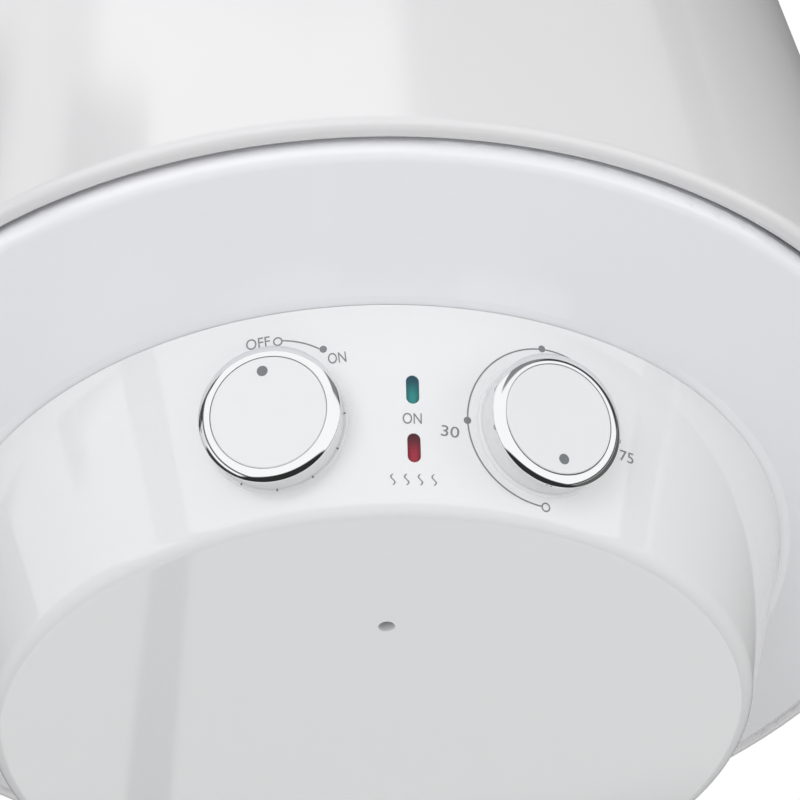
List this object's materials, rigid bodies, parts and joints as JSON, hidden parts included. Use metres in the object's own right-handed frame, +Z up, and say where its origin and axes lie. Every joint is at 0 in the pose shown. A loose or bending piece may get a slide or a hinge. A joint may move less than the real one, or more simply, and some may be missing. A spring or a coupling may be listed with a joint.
{
  "type": "electric storage water heater",
  "caption": "Wall-hung electric storage water heater: round insulated tank, control cover below with switch, thermostat and lamps, pipe stubs, cable gland and wall bracket behind.",
  "frame": {"origin": "middle of the wall bracket's hole pattern, on the wall plane", "axes": "+Z up; +Y into the wall, so the front looks along -Y; +X to the right for someone facing the heater"},
  "size_m": [0.45, 0.47, 0.5751],
  "materials": {
    "white_paint": "gloss white paint",
    "white_plastic": "gloss white",
    "knob_white": "gloss white",
    "knob_chrome": "bright plated",
    "green_lens": "clear green",
    "red_lens": "clear red",
    "tank_steel": "dark enamel",
    "zinc_steel": "zinc plated",
    "copper": "tinned copper",
    "brass": "plain",
    "anode_metal": "dull cast",
    "foam": "rigid foam",
    "black_rubber": "matt",
    "black_plastic": "matt",
    "grey_plastic": "matt",
    "blue_plastic": "matt",
    "red_plastic": "matt",
    "brown_insulation": "matt",
    "blue_insulation": "matt",
    "earth_insulation": "matt",
    "ceramic": "glazed",
    "amber_lamp": "clear"
  },
  "bodies": {
    "heater": {"anode_nut": "zinc_steel", "anode_rod": "anode_metal", "blade_terminals": "brass", "bottom_cap": "white_paint", "bracket_screws": "zinc_steel", "brown_wires": "brown_insulation", "cable_gland_body": "black_plastic", "cable_gland_locknut": "black_plastic", "cable_gland_nut": "black_plastic", "cable_gland_seal": "black_rubber", "cold_inlet_pipe": "zinc_steel", "control_bracket": "zinc_steel", "control_cover": "white_plastic", "control_nuts": "brass", "cover_posts": "zinc_steel", "cover_screws": "zinc_steel", "cutout_sensor": "copper", "earth_nut": "brass", "earth_stud": "brass", "earth_wire": "earth_insulation", "element_flange": "zinc_steel", "element_insulators": "ceramic", "element_terminals": "brass", "flange_bolts": "zinc_steel", "flange_gasket": "black_rubber", "heating_element": "copper", "heating_lens": "red_lens", "hot_outlet_pipe": "zinc_steel", "indicator_lamps": "amber_lamp", "inlet_collar": "blue_plastic", "inlet_diffuser": "grey_plastic", "insulation_foam": "foam", "neutral_wire": "blue_insulation", "outer_casing": "white_paint", "outlet_collar": "red_plastic", "power_lens": "green_lens", "sensor_pocket": "copper", "service_plate": "zinc_steel", "switch_body": "black_plastic", "tank_barrel": "tank_steel", "tank_bottom_head": "tank_steel", "tank_flange_ring": "tank_steel", "tank_top_head": "tank_steel", "terminal_block": "grey_plastic", "terminal_screws": "brass", "thermal_cutout": "black_plastic", "thermostat_body": "grey_plastic", "thermostat_sensor": "copper", "top_cap": "white_paint", "wall_bracket": "white_paint", "wall_spacer": "black_plastic"},
    "switch_knob": {"switch_spindle": "brass", "switch_knob_body": "knob_white", "switch_knob_ring": "knob_chrome", "switch_knob_face": "knob_white"},
    "thermostat_knob": {"thermostat_spindle": "brass", "thermostat_knob_body": "knob_white", "thermostat_knob_ring": "knob_chrome", "thermostat_knob_face": "knob_white"},
    "reset_button": {"reset_button": "red_plastic"}
  },
  "joints": [
    {"name": "switch_turn", "type": "hinge", "parent": "heater", "child": "switch_knob", "pos_m": [-0.04201, -0.38591, -0.4074], "axis": [0.2667, 0.8947, 0.3584], "range_deg": [0, 30]},
    {"name": "thermostat_turn", "type": "hinge", "parent": "heater", "child": "thermostat_knob", "pos_m": [0.04201, -0.38591, -0.4074], "axis": [-0.2667, 0.8947, 0.3584], "range_deg": [0, 270]},
    {"name": "reset_press", "type": "slide", "parent": "heater", "child": "reset_button", "axis": [0, 0, 1], "range_m": [0, 0.002], "stiffness_N_per_m": 2000}
  ]
}
